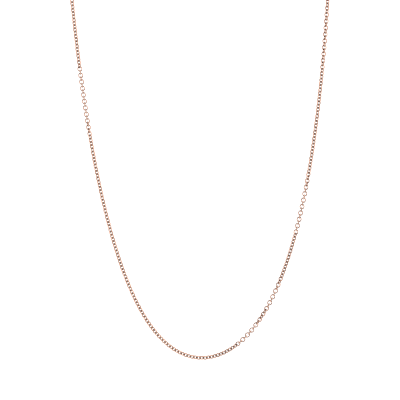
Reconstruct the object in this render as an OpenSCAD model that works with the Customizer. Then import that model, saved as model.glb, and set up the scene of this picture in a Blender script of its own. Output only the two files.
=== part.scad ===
// Fine cable-chain necklace, laid out flat and unclasped: a U of round-wire oval links,
// a lobster clasp on the left end and a two-hole end tab on the right end.
// Millimetres. Z is up and the table is z = 0. The origin is under the lowest point of the U,
// the two strands run towards +Y, and the right-hand strand is at +X.

/* [Chain links] */
// Outside width of one link
link_w = 1.9; // [1:0.05:3]
// Outside length of one link
link_l = 2.13; // [1.2:0.01:4]
// Diameter of the chain's round wire
wire_d = 0.43; // [0.2:0.01:0.8]
// Free gap between the wires of two hooked links at rest
slack = 0.05; // [0.02:0.01:0.1]

/* [Chain layout] */
// Links in one rigid run, an odd number
run_links = 7; // [5:2:15]
// Runs on each side of the front run
side_runs = 25; // [2:1:25]
// Size of the hanging curve: the radius of the bend at the front
curve_a = 17.6; // [8:0.05:30]
// Height above the bend at which the lean and the sway are stated
lean_h = 133; // [60:0.5:200]
// How far each strand leans in towards the middle at that height
lean_in = 2.35; // [0:0.01:4]
// How far both strands lean sideways just above the bend
sway = 1.93; // [0:0.01:3]
// Height over which the sway comes in
sway_h = 30; // [4:0.5:60]
// How far the sway has turned back at the lean height
sway_back = 2.67; // [0:0.01:4]

/* [Jump rings] */
// Outside diameter of the two jump rings
ring_od = 3.8; // [2:0.1:6]
// Wire diameter of the two jump rings
ring_wire = 0.58; // [0.3:0.02:1]
// Tilt of the jump rings from lying flat
ring_tilt = 45; // [20:1:60]
// Play between a jump ring and the rim of the hole it passes through
eye_slack = 0.7; // [0.6:0.05:0.8]
// Links at each end that ride up onto the jump ring
prop_links = 10; // [4:1:30]

/* [Lobster clasp] */
// Thickness of the clasp's body
clasp_t = 2.8; // [1.6:0.1:4]
// Radius of the hook's bend, to the middle of its wire
hook_r = 2.05; // [1.2:0.05:3]
// Radius of the hook's round section
hook_wire_r = 0.7; // [0.4:0.05:0.8]
// Distance from the tail eye to the middle of the hook's bend
hook_x = 7.9; // [5.5:0.1:10]
// Radius of the tail eye's hole
eye_hole_r = 1.1; // [0.7:0.05:1.5]
// Width of the metal around the tail eye's hole
eye_rim = 0.5; // [0.3:0.05:1]
// Thickness of the tail eye
eye_t = 0.75; // [0.4:0.05:1]
// Radius of the rounded body around the rivet
cheek_r = 1.4; // [0.9:0.05:1.6]
// Radius of the lever's rivet
rivet_r = 0.38; // [0.2:0.02:0.5]
// Gap around the lever's moving faces
lever_gap = 0.05; // [0.02:0.01:0.1]
// Width of the lever's arm
lever_w = 1; // [0.5:0.05:1.2]
// Diameter of the return spring's wire
spring_wire = 0.2; // [0.1:0.02:0.26]

/* [End tab] */
// Thickness of the end tab
tab_t = 0.6; // [0.3:0.05:0.8]
// Radius of the open eye that the clasp hooks into
tab_eye_r = 1.35; // [0.8:0.05:2]
// Radius of the hole that the end ring passes through
tab_hole_r = 0.9; // [0.6:0.05:1.2]
// Width of the metal around both holes
tab_rim = 0.85; // [0.4:0.05:1.5]
// Distance between the two holes' middles
tab_pitch = 4.1; // [2.5:0.1:8]

/* [Hidden] */
$fn = 48;
gold = [0.80, 0.52, 0.41];
pitch = link_l - 2 * wire_d - slack;      // distance from one link's middle to the next
half_links = floor(run_links / 2);
end_r = (link_w - wire_d) / 2;            // radius of the link's ends, to the wire's middle
leg = link_l - link_w;                    // length of the link's straight sides

// ---- the line the chain lies along ----
// u runs along the hanging curve, 0 at the front, negative on the left
function rise(u) = curve_a * (cosh(u) - 1);
function cosh(u) = (exp(u) + exp(-u)) / 2;
function shift(h) = sway * (1 - exp(-h / sway_h)) - sway_back * h / lean_h;
function line_x(u) = curve_a * u - sign(u) * lean_in * pow(rise(u) / lean_h, 2) + shift(rise(u));
function line(u) = [line_x(u), rise(u)];
du = 0.001;
function speed(u) = norm(line(u + du) - line(u - du)) / (2 * du);
function heading(u) = let (d = line(u + du) - line(u - du)) atan2(d[1], d[0]);
// the next link one pitch further along, and a whole strand of them
function onward(u, dir) = let (half = u + dir * pitch / 2 / speed(u)) u + dir * pitch / speed(half);
function strand(n, u, dir, out = []) = n == 0 ? out : strand(n - 1, onward(u, dir), dir, concat(out, [u]));
strand_links = half_links + run_links * side_runs + 1;
right_u = strand(strand_links, 0, 1);
left_u = strand(strand_links, 0, -1);
function link_u(i) = i < 0 ? left_u[-i] : right_u[i];

// ---- how the chain is twisted along its length ----
// [distance from the front link, angle of the even links to the table]; the odd links are
// a quarter turn further. 45 is a chain on its edges, 0 or 90 one with every other link flat.
twists = [
    [-187, 45], [-181, 10], [-171, 10], [-165, 45],
    [-125.5, 45], [-122.5, 90], [-104.5, 90], [-97.5, 50], [-93, 45],
    [12.5, 45], [16, 0], [24, 0], [27, 30], [29.5, 33], [33.5, 0], [39.5, 0],
    [44, 35], [46.5, 45], [60.5, 45], [63.5, 90], [76.5, 90], [80.5, 70], [85.5, 50],
    [89, 45], [121, 45], [125.5, 25], [131, 20], [143, 20], [148, 40], [156, 45],
    [170, 45], [176, 80], [186, 80], [192, 45]
];
function smooth(t) = let (c = max(0, min(1, t))) c * c * (3 - 2 * c);
function twist(i) = lookup(i * pitch, twists) + 90 * (abs(i) % 2);

// ---- how high the chain lies: links touch the table, and the ends ride up onto the rings ----
last_link = half_links + side_runs * run_links;
ring_r = (ring_od - ring_wire) / 2;       // radius of a jump ring, to its wire's middle
ring_z = ring_wire / 2 + ring_r * sin(ring_tilt);
// a ring leans the other way from the link it hooks into
ring_lean = last_link % 2 == 1 ? ring_tilt : -ring_tilt;
function across(t) = max(abs(sin(t)), abs(cos(t)));
function rest_z(i) = wire_d / 2 + end_r * across(twist(i));
function propped(i) = smooth((abs(i) - last_link + prop_links) / prop_links);
function lie(i) = rest_z(i) * (1 - propped(i)) + ring_z * propped(i);
function inner(i) = max(1 - last_link, min(last_link - 1, i));
function climb(i) = atan2(lie(inner(i) + 1) - lie(inner(i) - 1), 2 * pitch);

// ---- one link: two half-round ends and two straight sides, flat in the XY plane ----
module link() {
    for (turn = [0, 180]) {
        rotate(turn) translate([leg / 2, 0, 0]) rotate(-90)
            rotate_extrude(angle = 180) translate([end_r, 0]) circle(d = wire_d);
        rotate(turn) translate([-leg / 2, end_r, 0]) rotate([0, 90, 0])
            cylinder(h = leg, d = wire_d);
    }
}

// link number i of the chain, counted from the front link, negative to the left
module laid_link(i) {
    p = line(link_u(i));
    translate([p[0], p[1], lie(i)]) rotate(heading(link_u(i)))
        rotate([0, -climb(i), 0]) rotate([twist(i), 0, 0]) link();
}

module run_of_links(first) {
    color(gold) for (i = [first : first + run_links - 1]) laid_link(i);
}

module chain_front() {
    run_of_links(-half_links);
}

module chain_right(n) {
    run_of_links(half_links + 1 + (n - 1) * run_links);
}

module chain_left(n) {
    run_of_links(-half_links - n * run_links);
}

// ---- the jump rings on the two ends ----
// from the last link's middle to the ring's middle
link_to_ring = link_l / 2 - wire_d - slack + ring_r - ring_wire / 2;
// from the ring's middle to the middle of the hole it passes through
function ring_to_hole(hole_r) = ring_r - ring_wire / 2 - eye_slack + hole_r;

// puts its children at the end of a strand, +X leading on along the strand, z at the table
module at_end(side) {
    u = link_u(side * last_link);
    p = line(u);
    translate([p[0], p[1], 0]) rotate(heading(u) + (side < 0 ? 180 : 0))
        translate([link_to_ring, 0, 0]) children();
}

module jump_ring(side) {
    color(gold) at_end(side) translate([0, 0, ring_z]) rotate([side * ring_lean, 0, 0])
        rotate_extrude() translate([ring_r, 0]) circle(d = ring_wire);
}

module clasp_ring() {
    jump_ring(-1);
}

module end_ring() {
    jump_ring(1);
}

// ---- the lobster clasp: +X runs from the tail eye to the hook, the spine is at +Y ----
module at_clasp() {
    color(gold) at_end(-1) translate([ring_to_hole(eye_hole_r), 0, clasp_t / 2]) children();
}

// a flat round boss about Z
module boss(at, r, h) {
    translate([at[0], at[1], -h / 2]) cylinder(r = r, h = h);
}

// a flat bar with square ends from one point to another
module bar(from, to, width, h) {
    step = to - from;
    translate([from[0], from[1], 0]) rotate(atan2(step[1], step[0]))
        translate([0, -width / 2, -h / 2]) cube([norm(step), width, h]);
}

eye = [0, 0];
pivot = [3.2, -1.2];                      // the rivet
spine = [3.1, hook_r - 0.3];              // where the spine grows out of the body
spine_r = cheek_r - 0.2;                  // the body's rounded shoulder there
waist_w = 2.2;                            // width of the body between rivet and spine
neck_from = [0.9, 0.05];                  // the tail eye's neck starts here
neck_to = [3.2, -0.45];                   // and meets the body here
neck_w = 1.9;
lever_tip = [hook_x - 0.3, -hook_r];
thumb = pivot + [1.45, -1.7];             // the small knob that a nail pulls
thumb_r = 0.45;
thumb_swell = 1.3;                        // its thickness beside the arm's
thumb_from = pivot + [0.75, -0.15];       // where its stem leaves the arm
thumb_w = 0.65;                           // width of the stem
slot_t = clasp_t * 0.42;                  // the gap between the two cheeks
lever_t = slot_t - 2 * lever_gap;
heel_r = rivet_r + 0.45;                  // the lever's round heel
spring_r = heel_r + lever_gap + spring_wire / 2;
spring_turn = 150;                        // degrees that the spring wraps round the heel
spring_leg = 1.15;                        // length of its straight leg
room_r = spring_r + spring_wire / 2 + 0.01;
nose_short = 8;                           // degrees that the hook stops short of a half turn
through = clasp_t + 1;

module hook() {
    translate([hook_x, 0, 0]) rotate(nose_short - 90) rotate_extrude(angle = 180 - nose_short)
        translate([hook_r, 0]) circle(r = hook_wire_r);
    translate([spine[0], hook_r, 0]) rotate([0, 90, 0])
        cylinder(r = hook_wire_r, h = hook_x - spine[0]);
}

// the slot between the cheeks: round behind the heel, open towards the hook
module lever_room() {
    boss(pivot, room_r, slot_t);
    translate([pivot[0], pivot[1] - cheek_r - 1, -slot_t / 2])
        cube([cheek_r + 1, cheek_r + 1 + room_r, slot_t]);
}

module clasp_body() {
    at_clasp() difference() {
        union() {
            boss(eye, eye_hole_r + eye_rim, eye_t);
            boss(pivot, cheek_r, clasp_t);
            boss(spine, spine_r, clasp_t);
            bar(pivot, [pivot[0], spine[1]], waist_w, clasp_t);
            bar(neck_from, neck_to, neck_w, clasp_t);
            hook();
        }
        boss(eye, eye_hole_r, through);
        boss(pivot, rivet_r, through);
        lever_room();
    }
}

module clasp_rivet() {
    at_clasp() boss(pivot, rivet_r, clasp_t);
}

module clasp_lever() {
    at_clasp() difference() {
        union() {
            boss(pivot, heel_r, lever_t);
            bar(pivot, lever_tip, lever_w, lever_t);
            boss(lever_tip, lever_w / 2, lever_t);
            bar(thumb_from, thumb, thumb_w, lever_t);
            boss(thumb, thumb_r, lever_t * thumb_swell);
        }
        boss(pivot, rivet_r + lever_gap, through);
    }
}

// a bent wire round the back of the heel, with one straight leg along the body
module clasp_spring() {
    at_clasp() translate([pivot[0], pivot[1], 0]) {
        rotate(90) rotate_extrude(angle = spring_turn) translate([spring_r, 0])
            circle(d = spring_wire);
        translate([0, spring_r, 0]) rotate([0, 90, 0]) cylinder(d = spring_wire, h = spring_leg);
    }
}

// ---- the end tab: a flat tag that leans from the end ring down to the table ----
tab_far = tab_pitch + tab_eye_r + tab_rim; // from the ring's hole to the tab's far edge
tab_waist = 2;                            // width of the bar between the two eyes
tab_droop = asin((ring_z - tab_t / 2) / tab_far);

module end_tab() {
    color(gold) at_end(1) translate([ring_to_hole(tab_hole_r), 0, ring_z])
        rotate([0, tab_droop, 0]) difference() {
            union() {
                boss([0, 0], tab_hole_r + tab_rim, tab_t);
                boss([tab_pitch, 0], tab_eye_r + tab_rim, tab_t);
                bar([0, 0], [tab_pitch, 0], tab_waist, tab_t);
            }
            boss([0, 0], tab_hole_r, tab_t + 1);
            boss([tab_pitch, 0], tab_eye_r, tab_t + 1);
        }
}

// ---- the list of pieces ----

chain_front();
chain_left(1);  // chain_left_01
chain_left(2);  // chain_left_02
chain_left(3);  // chain_left_03
chain_left(4);  // chain_left_04
chain_left(5);  // chain_left_05
chain_left(6);  // chain_left_06
chain_left(7);  // chain_left_07
chain_left(8);  // chain_left_08
chain_left(9);  // chain_left_09
chain_left(10);  // chain_left_10
chain_left(11);  // chain_left_11
chain_left(12);  // chain_left_12
chain_left(13);  // chain_left_13
chain_left(14);  // chain_left_14
chain_left(15);  // chain_left_15
chain_left(16);  // chain_left_16
chain_left(17);  // chain_left_17
chain_left(18);  // chain_left_18
chain_left(19);  // chain_left_19
chain_left(20);  // chain_left_20
chain_left(21);  // chain_left_21
chain_left(22);  // chain_left_22
chain_left(23);  // chain_left_23
chain_left(24);  // chain_left_24
chain_left(25);  // chain_left_25
chain_right(1);  // chain_right_01
chain_right(2);  // chain_right_02
chain_right(3);  // chain_right_03
chain_right(4);  // chain_right_04
chain_right(5);  // chain_right_05
chain_right(6);  // chain_right_06
chain_right(7);  // chain_right_07
chain_right(8);  // chain_right_08
chain_right(9);  // chain_right_09
chain_right(10);  // chain_right_10
chain_right(11);  // chain_right_11
chain_right(12);  // chain_right_12
chain_right(13);  // chain_right_13
chain_right(14);  // chain_right_14
chain_right(15);  // chain_right_15
chain_right(16);  // chain_right_16
chain_right(17);  // chain_right_17
chain_right(18);  // chain_right_18
chain_right(19);  // chain_right_19
chain_right(20);  // chain_right_20
chain_right(21);  // chain_right_21
chain_right(22);  // chain_right_22
chain_right(23);  // chain_right_23
chain_right(24);  // chain_right_24
chain_right(25);  // chain_right_25
clasp_ring();
clasp_body();
clasp_rivet();
clasp_lever();
clasp_spring();
end_ring();
end_tab();
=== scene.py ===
"""A fine rose gold cable chain laid out in a U over a white board, seen from straight above."""
import math
import random

import bpy
from mathutils import Matrix, Vector


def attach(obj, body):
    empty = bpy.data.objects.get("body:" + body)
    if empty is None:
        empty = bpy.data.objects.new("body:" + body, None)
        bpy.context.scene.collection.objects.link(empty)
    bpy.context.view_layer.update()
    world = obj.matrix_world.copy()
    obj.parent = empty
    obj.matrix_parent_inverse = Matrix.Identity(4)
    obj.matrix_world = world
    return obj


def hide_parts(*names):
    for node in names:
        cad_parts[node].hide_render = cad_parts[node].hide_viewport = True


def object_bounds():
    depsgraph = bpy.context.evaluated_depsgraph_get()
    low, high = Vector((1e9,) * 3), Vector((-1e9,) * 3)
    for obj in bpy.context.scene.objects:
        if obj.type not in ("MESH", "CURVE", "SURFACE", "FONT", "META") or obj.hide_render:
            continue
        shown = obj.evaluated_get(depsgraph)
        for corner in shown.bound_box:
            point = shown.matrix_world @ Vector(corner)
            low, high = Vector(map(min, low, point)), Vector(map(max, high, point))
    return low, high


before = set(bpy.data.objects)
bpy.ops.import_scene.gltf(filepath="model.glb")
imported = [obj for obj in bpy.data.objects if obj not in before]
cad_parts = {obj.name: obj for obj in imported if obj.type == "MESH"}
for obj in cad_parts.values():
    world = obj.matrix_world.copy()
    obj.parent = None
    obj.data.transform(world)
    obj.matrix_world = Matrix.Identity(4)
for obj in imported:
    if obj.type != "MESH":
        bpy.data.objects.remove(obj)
cad_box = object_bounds()
MM = 0.001

# ---- the chain's sizes and layout, in millimetres, as in the CAD ----
LINK_W, LINK_L, WIRE_D, SLACK = 1.9, 2.13, 0.43, 0.05
PITCH = LINK_L - 2 * WIRE_D - SLACK
END_R = (LINK_W - WIRE_D) / 2
LEG = LINK_L - LINK_W
RUN_LINKS, SIDE_RUNS = 7, 25
HALF_LINKS = RUN_LINKS // 2
LAST_LINK = HALF_LINKS + SIDE_RUNS * RUN_LINKS
CURVE_A = 17.6                   # radius of the bend at the front
LEAN_H, LEAN_IN = 133, 2.35      # how high up, and how far each strand leans in there
SWAY, SWAY_H = 1.93, 30          # how far both lean sideways, and the height that takes
SWAY_BACK = 2.67                 # how far that has turned back at LEAN_H
# how the links roll about the chain's line: (mm along the chain from its front, degrees)
TWISTS = ((-187, 45), (-181, 10), (-171, 10), (-165, 45), (-125.5, 45), (-122.5, 90),
          (-104.5, 90), (-97.5, 50), (-93, 45), (12.5, 45), (16, 0), (24, 0), (27, 30),
          (29.5, 33), (33.5, 0), (39.5, 0), (44, 35), (46.5, 45), (60.5, 45), (63.5, 90),
          (76.5, 90), (80.5, 70), (85.5, 50), (89, 45), (121, 45), (125.5, 25), (131, 20),
          (143, 20), (148, 40), (156, 45), (170, 45), (176, 80), (186, 80), (192, 45))
RING_OD, RING_WIRE, RING_TILT = 3.8, 0.58, 45
EYE_SLACK = 0.7                  # play between a jump ring and the rim of its eye
PROP_LINKS = 10                  # links at each end that ride up onto the jump ring
RING_R = (RING_OD - RING_WIRE) / 2
RING_Z = RING_WIRE / 2 + RING_R * math.sin(math.radians(RING_TILT))
RING_LEAN = RING_TILT if LAST_LINK % 2 else -RING_TILT
LINK_TO_RING = LINK_L / 2 - WIRE_D - SLACK + RING_R - RING_WIRE / 2


def rise(u):
    """Height of the hanging curve. u is 0 at the front, negative on the left."""
    return CURVE_A * (math.cosh(u) - 1)


def line(u):
    """The point at u on the line that the chain lies along."""
    h = rise(u)
    shift = SWAY * (1 - math.exp(-h / SWAY_H)) - SWAY_BACK * h / LEAN_H
    lean = math.copysign(LEAN_IN * (h / LEAN_H) ** 2, u)
    return Vector((CURVE_A * u - lean + shift, h))


def tangent(u, du=0.001):
    """How the line's point moves with u, both its direction and its speed."""
    return (line(u + du) - line(u - du)) / (2 * du)


def strand(n, side):
    """The first n places, a pitch apart, along one side of the line."""
    out, u = [], 0.0
    for _ in range(n):
        out.append(u)
        half = u + side * PITCH / 2 / tangent(u).length
        u += side * PITCH / tangent(half).length
    return out


STRANDS = {side: strand(LAST_LINK + 1, side) for side in (1, -1)}


def link_u(i):
    return STRANDS[-1 if i < 0 else 1][abs(i)]


def heading(u):
    t = tangent(u)
    return math.atan2(t.y, t.x)


def smooth(t):
    c = max(0.0, min(1.0, t))
    return c * c * (3 - 2 * c)


def lookup(s, table):
    """The table's value at s, in straight steps between its entries."""
    if s <= table[0][0]:
        return table[0][1]
    for (s0, v0), (s1, v1) in zip(table, table[1:]):
        if s <= s1:
            return v0 + (v1 - v0) * (s - s0) / (s1 - s0)
    return table[-1][1]


def twist(i):
    """How far link i is turned about the chain's line, in radians."""
    return math.radians(lookup(i * PITCH, TWISTS) + 90 * (abs(i) % 2))


def lie(i):
    """Height of link i's middle: on the table, or riding up onto the jump ring."""
    t = twist(i)
    rest = WIRE_D / 2 + END_R * max(abs(math.sin(t)), abs(math.cos(t)))
    prop = smooth((abs(i) - LAST_LINK + PROP_LINKS) / PROP_LINKS)
    return rest * (1 - prop) + RING_Z * prop


def climb(i):
    """The slope of the chain at link i, as an angle."""
    j = max(1 - LAST_LINK, min(LAST_LINK - 1, i))
    return math.atan2(lie(j + 1) - lie(j - 1), 2 * PITCH)


def link_place(i):
    """Where link i lies, as a 4x4 in millimetres."""
    p = line(link_u(i))
    return (Matrix.Translation((p.x, p.y, lie(i)))
            @ Matrix.Rotation(heading(link_u(i)), 4, "Z")
            @ Matrix.Rotation(-climb(i), 4, "Y")
            @ Matrix.Rotation(twist(i), 4, "X"))


# ---- materials ----
def nodes_of(name):
    """A new material, its node tree and its shader."""
    mat = bpy.data.materials.new(name)
    mat.use_nodes = True
    tree = mat.node_tree
    return mat, tree, tree.nodes["Principled BSDF"]


def noise(tree, coords, scale, detail=2.0):
    """A soft random pattern from 0 to 1."""
    n = tree.nodes.new("ShaderNodeTexNoise")
    n.inputs["Scale"].default_value = scale
    n.inputs["Detail"].default_value = detail
    tree.links.new(coords, n.inputs["Vector"])
    return n.outputs["Fac"]


def ramp(tree, fac, low, high, start=0.3, end=0.7):
    """Goes from low to high while fac goes from start to end."""
    r = tree.nodes.new("ShaderNodeMapRange")
    r.inputs["From Min"].default_value = start
    r.inputs["From Max"].default_value = end
    r.inputs["To Min"].default_value = low
    r.inputs["To Max"].default_value = high
    tree.links.new(fac, r.inputs["Value"])
    return r.outputs["Result"]


def mix(tree, fac, a, b):
    """Goes from a, which is a colour or another node's output, to the colour b."""
    m = tree.nodes.new("ShaderNodeMix")
    m.data_type = "RGBA"
    if isinstance(a, tuple):
        m.inputs["A"].default_value = (*a, 1)
    else:
        tree.links.new(a, m.inputs["A"])
    m.inputs["B"].default_value = (*b, 1)
    tree.links.new(fac, m.inputs["Factor"])
    return m.outputs["Result"]


# how near other metal must be for shade to be painted into a corner
SHADE_REACH = 0.5 * MM
DRIFT_SCALE, PATCH_SCALE, SCRATCH_SCALE = 900, 2600, 14000
SCRATCH_DEPTH = 0.02 * MM


def shade_by_reach(tree):
    """0 on open metal, 1 where shade is painted into corners, found by what is close by."""
    ao = tree.nodes.new("ShaderNodeAmbientOcclusion")
    ao.samples = 8
    ao.inputs["Distance"].default_value = SHADE_REACH
    return ramp(tree, ao.outputs["AO"], 1, 0, 0.3, 0.75)


def shade_by_link(tree):
    """0 where a link is left bright, 1 where shade is painted on it, as worked out with its mesh.
    """
    painted_shade = tree.nodes.new("ShaderNodeAttribute")
    painted_shade.attribute_name = "painted_shade"
    return painted_shade.outputs["Fac"]


def polished(name, pale, deep, shade_colour, rough_low, rough_high, shade_mask, metallic=1.0):
    """Polished metal: a slow drift in colour, painted shade in its corners, patchy polish, fine
    scratches.
    """
    mat, tree, shader = nodes_of(name)
    coords = tree.nodes.new("ShaderNodeTexCoord").outputs["Object"]
    shader.inputs["Metallic"].default_value = metallic
    drift = ramp(tree, noise(tree, coords, DRIFT_SCALE), 0, 1)
    own_colour = mix(tree, drift, deep, pale)
    tree.links.new(mix(tree, shade_mask(tree), own_colour, shade_colour), shader.inputs["Base Color"])
    patchy = noise(tree, coords, PATCH_SCALE, 4)
    tree.links.new(ramp(tree, patchy, rough_low, rough_high), shader.inputs["Roughness"])
    bump = tree.nodes.new("ShaderNodeBump")
    bump.inputs["Strength"].default_value = 0.08
    bump.inputs["Distance"].default_value = SCRATCH_DEPTH
    tree.links.new(noise(tree, coords, SCRATCH_SCALE, 3), bump.inputs["Height"])
    tree.links.new(bump.outputs["Normal"], shader.inputs["Normal"])
    return mat


# the third colour is the dark brown of painted shade, for where links cross and for the clasp's
# corners
PALE, DEEP, PAINTED_SHADE_COLOUR = (0.98, 0.61, 0.43), (0.93, 0.53, 0.37), (0.11, 0.037, 0.014)
chain_gold = polished("chain_rose_gold", PALE, DEEP, PAINTED_SHADE_COLOUR, 0.08, 0.16, shade_by_link)
clasp_gold = polished("clasp_rose_gold", PALE, DEEP, PAINTED_SHADE_COLOUR, 0.16, 0.28, shade_by_reach, 0.6)
# the steel's third colour is the grey of its painted shade in corners
steel = polished("spring_steel", (0.70, 0.70, 0.71), (0.60, 0.60, 0.62), (0.2, 0.2, 0.2),
                 0.16, 0.28, shade_by_reach)


def shown(name, verts, faces, mat, body, replaced, painted_shade=None):
    """A smooth mesh piece, given in millimetres and held inside the solids' own box."""
    mesh = bpy.data.meshes.new(name)
    held = [[min(max(c * MM, lo), hi) for c, lo, hi in zip(v, *cad_box)] for v in verts]
    mesh.from_pydata(held, [], faces)
    mesh.polygons.foreach_set("use_smooth", [True] * len(faces))
    mesh.materials.append(mat)
    # the links carry their painted shade as a point attribute of the mesh
    if painted_shade:
        mesh.attributes.new("painted_shade", "FLOAT", "POINT").data.foreach_set("value", painted_shade)
    obj = bpy.data.objects.new(name, mesh)
    bpy.context.collection.objects.link(obj)
    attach(obj, body)
    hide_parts(*replaced)
    return obj


# ---- the links ----
ROUND, SIDES = 44, 18            # points round a link's middle line and round its wire
SEAM_SWELL, SEAM_WIDTH = 0.03, 0.2
ROLL = 2.5                       # the most that a link is rolled from its place, in degrees
SHADE_FROM, SHADE_TO = 0.48, 0.74  # how far from its tips a link's painted shade fades out, in mm
LEG_SHADE_DEPTH = 0.7                     # how dark the painted shade along the outermost line of its legs is
LEG_SHADE_FROM, LEG_SHADE_TO = 0.3, 0.5      # how far from the link's middle that reaches, in mm
LEG_SHADE_LOW, LEG_SHADE_HIGH = 0.6, 0.9     # and how far round the wire, as the outward part of its normal


def link_points():
    """Points round one link's middle line, with the outward direction at each."""
    out = []
    for k in range(ROUND):
        a = 2 * math.pi * (k + 0.5) / ROUND
        across = Vector((math.cos(a), math.sin(a), 0))
        out.append((END_R * across + Vector((math.copysign(LEG / 2, across.x), 0, 0)), across))
    return out


LINK_POINTS = link_points()


def painted_shade_at(at, outward):
    """How much shade is painted on a link at a point, in its own frame: near its ends, where the
    next links cross, and along the outer middle of its legs.
    """
    tip = Vector((math.copysign(END_R + LEG / 2, at.x), 0, 0))
    end_shade = smooth((SHADE_TO - (at - tip).length) / (SHADE_TO - SHADE_FROM))
    leg_shade = (smooth((outward - LEG_SHADE_LOW) / (LEG_SHADE_HIGH - LEG_SHADE_LOW))
              * smooth((LEG_SHADE_TO - abs(at.x)) / (LEG_SHADE_TO - LEG_SHADE_FROM)))
    return max(end_shade, LEG_SHADE_DEPTH * leg_shade)


def link_mesh(place, seam, verts, faces, painted_shade):
    """Adds one link. seam is where its soldered joint is, as a place in LINK_POINTS."""
    first = len(verts)
    for k, (p, out) in enumerate(LINK_POINTS):
        away = min((k - seam) % ROUND, (seam - k) % ROUND) * 2 * math.pi * END_R / ROUND
        r = WIRE_D / 2 * (1 - SEAM_SWELL + SEAM_SWELL * math.exp(-(away / SEAM_WIDTH) ** 2))
        for s in range(SIDES):
            a = 2 * math.pi * s / SIDES
            at = p + r * (math.cos(a) * out + math.sin(a) * Vector((0, 0, 1)))
            verts.append(place @ at)
            painted_shade.append(painted_shade_at(at, math.cos(a)))
    for k in range(ROUND):
        for s in range(SIDES):
            a, b = k * SIDES, (k + 1) % ROUND * SIDES
            t = (s + 1) % SIDES
            faces.append((first + a + s, first + b + s, first + b + t, first + a + t))


def run_of_links(name, first):
    """One visible piece: the run of links that a chain body moves as one."""
    rng = random.Random(name)
    verts, faces, painted_shade = [], [], []
    for i in range(first, first + RUN_LINKS):
        roll = Matrix.Rotation(math.radians(rng.uniform(-ROLL, ROLL)), 4, "X")
        seam = rng.choice((0.25, 0.75)) * ROUND
        link_mesh(link_place(i) @ roll, seam, verts, faces, painted_shade)
    shown(name + "_links", verts, faces, chain_gold, name, [name], painted_shade)


run_of_links("chain_front", -HALF_LINKS)
for n in range(1, SIDE_RUNS + 1):
    run_of_links(f"chain_right_{n:02d}", HALF_LINKS + 1 + (n - 1) * RUN_LINKS)
    run_of_links(f"chain_left_{n:02d}", -HALF_LINKS - n * RUN_LINKS)


# ---- the findings: jump rings, clasp and end tab ----
ZERO = Vector((0, 0, 0))
EYE_HOLE_R, EYE_RIM, EYE_T = 1.1, 0.5, 0.75
CLASP_T, HOOK_R, HOOK_WIRE_R, HOOK_X = 2.8, 2.05, 0.7, 7.9
CHEEK_R, RIVET_R, LEVER_GAP, LEVER_W, SPRING_WIRE = 1.4, 0.38, 0.05, 1, 0.2
PIVOT, SPINE = Vector((3.2, -1.2, 0)), Vector((3.1, HOOK_R - 0.3, 0))
SLOT_T = CLASP_T * 0.42
CHEEK_T = (CLASP_T - SLOT_T) / 2
SHOULDER_T = CHEEK_T - 0.12      # the shoulders over the tail eye's neck are a step thinner
NECK_FROM, NECK_TO = Vector((1.9, 0.15, 0)), Vector((2.2, 0.6, 0))
SHOULDER_FROM, SHOULDER_TO = Vector((1.95, -0.1, 0)), Vector((3.2, 0.1, 0))
POST_FROM = Vector((2.6, 0.6, 0))
LEVER_T = SLOT_T - 2 * LEVER_GAP
HEEL_R = RIVET_R + 0.45
SPRING_R = HEEL_R + LEVER_GAP + SPRING_WIRE / 2
LEVER_TIP = Vector((HOOK_X - 0.3, -HOOK_R, 0))
THUMB, THUMB_R, THUMB_SWELL = PIVOT + Vector((1.45, -1.7, 0)), 0.45, 1.3
SPRING_LEG, SPRING_TURN = 1.15, 150
TAB_T, TAB_EYE_R, TAB_HOLE_R, TAB_RIM, TAB_PITCH = 0.6, 1.35, 0.9, 0.85, 4.1
TAB_WAIST = 2
TAB_DROOP = math.asin((RING_Z - TAB_T / 2) / (TAB_PITCH + TAB_EYE_R + TAB_RIM))


def ring_to_hole(hole_r):
    """From a jump ring's middle to the middle of the hole that hangs on it."""
    return RING_R - RING_WIRE / 2 - EYE_SLACK + hole_r


def at_end(side):
    """The frame under the middle of a strand's jump ring, with +X away from the chain."""
    u = link_u(side * LAST_LINK)
    p = line(u)
    return (Matrix.Translation((p.x, p.y, 0))
            @ Matrix.Rotation(heading(u) + (math.pi if side < 0 else 0), 4, "Z")
            @ Matrix.Translation((LINK_TO_RING, 0, 0)))


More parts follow.
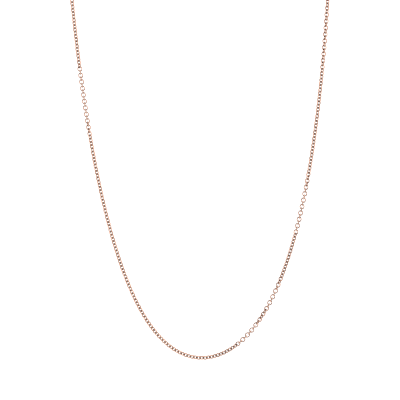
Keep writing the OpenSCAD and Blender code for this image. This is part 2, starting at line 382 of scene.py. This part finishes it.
class Shape:
    """Vertices and faces gathered in one piece's own frame, in millimetres."""

    def __init__(self):
        self.verts, self.faces = [], []

    def tube(self, path, radii, closed=False, sides=24):
        """A round tube along a path in the XY plane. radii are (in plane, along Z) pairs."""
        first, n = len(self.verts), len(path)
        for k, (p, (wide, tall)) in enumerate(zip(path, radii)):
            before = path[k - 1] if k or closed else p
            after = path[(k + 1) % n] if k < n - 1 or closed else p
            along = (after - before).normalized()
            out = Vector((along.y, -along.x, 0))
            for s in range(sides):
                a = 2 * math.pi * s / sides
                up = Vector((0, 0, tall * math.sin(a)))
                self.verts.append(p + wide * math.cos(a) * out + up)
        for k in range(n if closed else n - 1):
            a, b = first + k * sides, first + (k + 1) % n * sides
            for s in range(sides):
                t = (s + 1) % sides
                self.faces.append((a + s, b + s, b + t, a + t))
        if not closed:
            self.faces.append(tuple(first + s for s in range(sides)))
            self.faces.append(tuple(first + (n - 1) * sides + s for s in reversed(range(sides))))

    def plate(self, outline, holes, thick, edge, z=0.0):
        """A flat plate with rounded edges. outline runs anticlockwise and holes clockwise."""
        curve = bpy.data.curves.new("outline", "CURVE")
        curve.dimensions, curve.fill_mode = "2D", "BOTH"
        curve.extrude, curve.bevel_depth = (thick / 2 - edge) * MM, edge * MM
        curve.offset, curve.bevel_resolution = -edge * MM, 3
        for points in (outline, *holes):
            spline = curve.splines.new("POLY")
            spline.points.add(len(points) - 1)
            for at, p in zip(spline.points, points):
                at.co = (p.x * MM, p.y * MM, 0, 1)
            spline.use_cyclic_u = True
        obj = bpy.data.objects.new("outline", curve)
        bpy.context.collection.objects.link(obj)
        mesh = bpy.data.meshes.new_from_object(obj)
        first = len(self.verts)
        self.verts += [v.co / MM + Vector((0, 0, z)) for v in mesh.vertices]
        self.faces += [tuple(first + v for v in f.vertices) for f in mesh.polygons]
        bpy.data.objects.remove(obj)
        bpy.data.curves.remove(curve)
        bpy.data.meshes.remove(mesh)

    def show(self, name, place, mat, body, node):
        """Lays the shape at its place and hands it over as one visible piece."""
        laid = [place @ v for v in self.verts]
        obj = shown(name, laid, self.faces, mat, body, [node])
        obj.data.set_sharp_from_angle(angle=math.radians(40))


def arc(middle, r, start, end, steps=24):
    """Points on an arc, angles in degrees, anticlockwise if end is the greater."""
    out = []
    for k in range(steps + 1):
        a = math.radians(start + (end - start) * k / steps)
        out.append(middle + r * Vector((math.cos(a), math.sin(a), 0)))
    return out


def hole(middle, r):
    """A round hole's outline, for a plate."""
    return arc(middle, r, 360, 0, 48)[:-1]


def capsule(a, b, r_a, r_b):
    """The outline round two discs and the straight lines that touch both."""
    step = b - a
    lean = math.degrees(math.atan2(step.y, step.x))
    open_by = math.degrees(math.acos((r_a - r_b) / step.length))
    return (arc(b, r_b, lean - open_by, lean + open_by)
            + arc(a, r_a, lean + open_by, lean + 360 - open_by))


def jump_ring(side, name):
    """A ring of wire with the fine line of its closed cut, where it is a tenth thinner."""
    steps, cut = 120, 37
    shape = Shape()
    path = [RING_R * Vector((math.cos(a), math.sin(a), 0))
            for a in (2 * math.pi * k / steps for k in range(steps))]
    radii = [(RING_WIRE / 2 * (0.9 if k == cut else 1),) * 2 for k in range(steps)]
    shape.tube(path, radii, closed=True)
    place = (at_end(side) @ Matrix.Translation((0, 0, RING_Z))
             @ Matrix.Rotation(math.radians(side * RING_LEAN), 4, "X"))
    shape.show(name + "_wire", place, clasp_gold, name, name)


jump_ring(-1, "clasp_ring")
jump_ring(1, "end_ring")

at_clasp = at_end(-1) @ Matrix.Translation((ring_to_hole(EYE_HOLE_R), 0, CLASP_T / 2))


def clasp_body():
    """The tail eye, two cheeks with the lever's slot between them, and the hook."""
    shape = Shape()
    eye_out = EYE_HOLE_R + EYE_RIM
    shape.plate(capsule(ZERO, Vector((2.1, 0.1, 0)), eye_out, 0.6), [hole(ZERO, EYE_HOLE_R)],
                EYE_T, 0.2)
    shape.plate(capsule(NECK_FROM, NECK_TO, 0.72, 0.7), [], SLOT_T + 0.1, 0.02)
    for side in (1, -1):
        shape.plate(capsule(PIVOT, SPINE, CHEEK_R, CHEEK_R - 0.2), [hole(PIVOT, RIVET_R)],
                    CHEEK_T, 0.3, side * (SLOT_T + CHEEK_T) / 2)
        shape.plate(capsule(SHOULDER_FROM, SHOULDER_TO, 0.8, 1.2), [],
                    SHOULDER_T, 0.3, side * (SLOT_T + SHOULDER_T) / 2)
    shape.plate(capsule(POST_FROM, SPINE, 0.9, CHEEK_R - 0.25), [], SLOT_T, 0.02)
    straight = 14                # points along the spine, before the hook's bend
    path = [Vector((SPINE.x + (HOOK_X - SPINE.x) * k / straight, HOOK_R, 0))
            for k in range(straight)]
    path += arc(Vector((HOOK_X, 0, 0)), HOOK_R, 90, -82, 44)
    radii = []
    for k, at in enumerate(path):
        t = k / (len(path) - 1)
        # the spine grows taller into the body, and the hook thins over its last half
        swell = 0.25 * (1 - smooth((at.x - SPINE.x) / 2.4)) if k < straight else 0
        taper = HOOK_WIRE_R * (1 - 0.22 * smooth((t - 0.55) / 0.45))
        radii.append((taper, taper + swell))
    shape.tube(path, radii)
    shape.show("clasp_body_cast", at_clasp, clasp_gold, "clasp", "clasp_body")


def clasp_rivet():
    """A rivet with slightly domed heads."""
    shape = Shape()
    half, sides = CLASP_T / 2, 32
    rings = ((-half, 0.2), (-half + 0.02, 0.32), (-half + 0.07, RIVET_R),
             (half - 0.07, RIVET_R), (half - 0.02, 0.32), (half, 0.2))
    for z, r in rings:
        for s in range(sides):
            a = 2 * math.pi * s / sides
            shape.verts.append(PIVOT + Vector((r * math.cos(a), r * math.sin(a), z)))
    for k in range(len(rings) - 1):
        for s in range(sides):
            a, b, t = k * sides, (k + 1) * sides, (s + 1) % sides
            shape.faces.append((a + s, a + t, b + t, b + s))
    shape.faces.append(tuple(reversed(range(sides))))
    shape.faces.append(tuple(range(len(shape.verts) - sides, len(shape.verts))))
    shape.show("clasp_rivet_pin", at_clasp, clasp_gold, "clasp", "clasp_rivet")


def clasp_lever():
    """The swinging arm with its round heel and the small knob for a nail."""
    shape = Shape()
    bore = hole(PIVOT, RIVET_R + LEVER_GAP)
    shape.plate(arc(PIVOT, HEEL_R, 0, 360, 60)[:-1], [bore], LEVER_T, 0.14)
    arm_from = PIVOT.lerp(LEVER_TIP, 0.22)
    shape.plate(capsule(arm_from, LEVER_TIP, LEVER_W / 2, LEVER_W / 2), [], LEVER_T, 0.14)
    shape.plate(capsule(PIVOT + Vector((0.75, -0.25, 0)), THUMB, 0.36, 0.3), [], LEVER_T, 0.14)
    shape.plate(arc(THUMB, THUMB_R, 0, 360, 40)[:-1], [], LEVER_T * THUMB_SWELL, 0.18)
    shape.show("clasp_lever_arm", at_clasp, clasp_gold, "clasp_lever", "clasp_lever")


def clasp_spring():
    """A bent wire round the back of the heel, with one straight leg."""
    shape = Shape()
    path = [PIVOT + Vector((SPRING_LEG * (1 - k / 4), SPRING_R, 0)) for k in range(4)]
    path += arc(PIVOT, SPRING_R, 90, 90 + SPRING_TURN, 30)
    shape.tube(path, [(SPRING_WIRE / 2, SPRING_WIRE / 2)] * len(path), sides=12)
    shape.show("clasp_spring_wire", at_clasp, steel, "clasp", "clasp_spring")


def end_tab():
    """A flat tag with a small hole for its ring and a large one for the clasp."""
    shape = Shape()
    far = Vector((TAB_PITCH, 0, 0))
    r_a, r_b = TAB_HOLE_R + TAB_RIM, TAB_EYE_R + TAB_RIM
    half, steps = [], 96
    for k in range(steps + 1):
        x = -r_a + (TAB_PITCH + r_a + r_b) * (1 - math.cos(math.pi * k / steps)) / 2
        near_a = math.sqrt(max(r_a ** 2 - x ** 2, 0))
        near_b = math.sqrt(max(r_b ** 2 - (x - TAB_PITCH) ** 2, 0))
        bar = TAB_WAIST / 2 if 0 < x < TAB_PITCH else 0
        half.append(Vector((x, max(near_a, near_b, bar), 0)))
    outline = [Vector((p.x, -p.y, 0)) for p in half] + half[-2:0:-1]
    shape.plate(outline, [hole(ZERO, TAB_HOLE_R), hole(far, TAB_EYE_R)], TAB_T, 0.15)
    place = (at_end(1) @ Matrix.Translation((ring_to_hole(TAB_HOLE_R), 0, RING_Z))
             @ Matrix.Rotation(TAB_DROOP, 4, "Y"))
    shape.show("end_tab_tag", place, clasp_gold, "end_tab", "end_tab")


clasp_body()
clasp_rivet()
clasp_lever()
clasp_spring()
end_tab()

# ---- the board, the light and the camera, in metres ----
VIEW_W = 0.14879               # width of the picture at the chain
AIM = Vector((-0.00068, 0.05869, 0.0007))
CAMERA_UP = 1.6
SHELF_UP = 0.12                # the chain lies on clear glass this far above the white board
BOARD_HALF = 6.0
# each dark card: (azimuth, elevation), half width, soft edge in degrees, depth from 0 to 1
DARK_CARDS = (((0, 90), 55, 8, 1), ((135, 20), 30, 8, 1), ((-45, 20), 30, 8, 1))
TENT_WHITE, TENT_DARK = (1.86, 1.80, 1.75), (0.15, 0.08, 0.05)


def plain_board():
    """A lit white board, which gives no shadow."""
    mat, _, shader = nodes_of("table_white")
    shader.inputs["Base Color"].default_value = (0.05, 0.05, 0.05, 1)
    shader.inputs["Roughness"].default_value = 0.9
    shader.inputs["Emission Color"].default_value = (1, 1, 1, 1)
    shader.inputs["Emission Strength"].default_value = 1.4
    mesh = bpy.data.meshes.new("table")
    shade_mask = [(x * BOARD_HALF, y * BOARD_HALF, 0) for x, y in ((-1, -1), (1, -1), (1, 1), (-1, 1))]
    mesh.from_pydata(shade_mask, [], [(0, 1, 2, 3)])
    mesh.materials.append(mat)
    obj = bpy.data.objects.new("table", mesh)
    obj.location.z = -SHELF_UP
    bpy.context.collection.objects.link(obj)


def soft_light(name, at, size, watts):
    """A soft box that points at the middle of the picture."""
    data = bpy.data.lights.new(name, "AREA")
    data.shape = "RECTANGLE"
    data.size, data.size_y = size
    data.energy = watts
    obj = bpy.data.objects.new(name, data)
    obj.location = at
    obj.rotation_euler = (AIM - Vector(at)).to_track_quat("-Z", "Y").to_euler()
    bpy.context.collection.objects.link(obj)


def light_tent():
    """A white tent of light with a dark opening above and dark cards at its sides."""
    world = bpy.data.worlds.new("tent")
    world.use_nodes = True
    tree = world.node_tree
    towards = tree.nodes.new("ShaderNodeTexCoord").outputs["Generated"]
    shade = None
    for (az, el), wide, soft, depth in DARK_CARDS:
        a, e = math.radians(az), math.radians(el)
        dot = tree.nodes.new("ShaderNodeVectorMath")
        dot.operation = "DOT_PRODUCT"
        dot.inputs[1].default_value = (math.cos(e) * math.cos(a), math.cos(e) * math.sin(a),
                                       math.sin(e))
        tree.links.new(towards, dot.inputs[0])
        card = ramp(tree, dot.outputs["Value"], 0, depth,
                    math.cos(math.radians(wide + soft)), math.cos(math.radians(wide)))
        if shade is None:
            shade = card
        else:
            both = tree.nodes.new("ShaderNodeMath")
            both.operation = "MAXIMUM"
            tree.links.new(shade, both.inputs[0])
            tree.links.new(card, both.inputs[1])
            shade = both.outputs["Value"]
    back = tree.nodes["Background"]
    tree.links.new(mix(tree, shade, TENT_WHITE, TENT_DARK), back.inputs["Color"])
    back.inputs["Strength"].default_value = 1
    bpy.context.scene.world = world


plain_board()
light_tent()
soft_light("left_box", (-0.9, 0.1, 0.7), (0.4, 0.9), 0.3)
soft_light("right_box", (0.9, 0.1, 0.7), (0.4, 0.9), 0.3)

cam_data = bpy.data.cameras.new("camera")
cam_data.sensor_width = 36
cam_data.lens = 36 * CAMERA_UP / VIEW_W
cam_data.clip_start, cam_data.clip_end = 0.1, 20
cam = bpy.data.objects.new("camera", cam_data)
cam.location = AIM + Vector((0, 0, CAMERA_UP))
bpy.context.collection.objects.link(cam)
bpy.context.scene.camera = cam
bpy.context.scene.view_settings.view_transform = "Standard"
